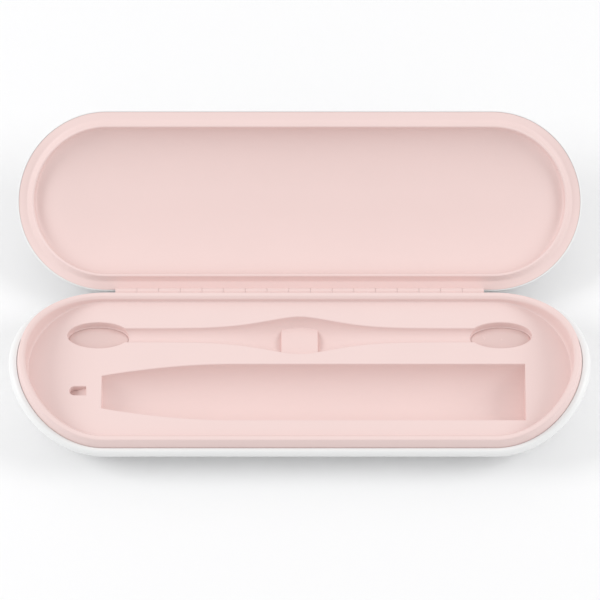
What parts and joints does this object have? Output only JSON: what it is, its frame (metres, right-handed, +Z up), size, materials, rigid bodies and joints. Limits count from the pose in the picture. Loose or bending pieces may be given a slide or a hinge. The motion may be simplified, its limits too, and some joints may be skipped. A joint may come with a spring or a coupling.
{
  "type": "toothbrush sanitizer",
  "caption": "Long oval clamshell case, white outside and pale pink inside, with moulded recesses for a toothbrush handle and two brush heads over ultraviolet lamp windows.",
  "frame": {"origin": "centre of the middle foot pad's flat underside, on the surface the case stands on", "axes": "+X along the case to its right end, +Y towards the hinge, +Z up; the lid is drawn open at its stop"},
  "size_m": [0.2394, 0.146, 0.0501],
  "materials": {
    "shell_white": "satin white moulded shell",
    "liner_pink": "soft-touch pale pink",
    "lamp_window": "tinted clear window",
    "foot_rubber": "matte silicone",
    "circuit_board": "solder-masked laminate",
    "chip_black": "moulded epoxy",
    "lamp_ceramic": "glazed ceramic",
    "lead_sheath": "smooth sheath",
    "cell_wrap": "silver pouch film",
    "foam_grey": "closed-cell foam",
    "light_pipe": "clear acrylic",
    "magnet_nickel": "nickel plated",
    "steel": "plain"
  },
  "bodies": {
    "base": {"base_foot_pad_left": "foot_rubber", "base_foot_pad_middle": "foot_rubber", "base_foot_pad_right": "foot_rubber", "base_hinge_leaf": "liner_pink", "base_magnet_left": "magnet_nickel", "base_magnet_right": "magnet_nickel", "base_outer_shell": "shell_white", "battery_cell": "cell_wrap", "battery_foam_pad": "foam_grey", "battery_lead": "lead_sheath", "board_screw_1": "steel", "board_screw_2": "steel", "charge_chip": "chip_black", "charge_light_pipe": "light_pipe", "control_chip": "chip_black", "hall_sensor": "chip_black", "hinge_pin": "steel", "lamp_board_left": "circuit_board", "lamp_board_right": "circuit_board", "lamp_lead_left": "lead_sheath", "lamp_lead_right": "lead_sheath", "main_circuit_board": "circuit_board", "storage_tray": "liner_pink", "tray_screw_1": "steel", "tray_screw_2": "steel", "tray_screw_3": "steel", "tray_screw_4": "steel", "usb_c_socket": "steel", "uv_lamp_left": "lamp_ceramic", "uv_lamp_right": "lamp_ceramic", "uv_window_left": "lamp_window", "uv_window_right": "lamp_window"},
    "lid": {"lid_hinge_leaf": "liner_pink", "lid_inner_liner": "liner_pink", "lid_magnet_left": "magnet_nickel", "lid_magnet_right": "magnet_nickel", "lid_outer_shell": "shell_white", "lid_sensor_magnet": "magnet_nickel"}
  },
  "joints": [
    {"name": "lid_hinge", "type": "hinge", "parent": "base", "child": "lid", "pos_m": [0, 0.03815, 0.0175], "axis": [1, 0, 0], "range_deg": [0, 150.5]}
  ]
}
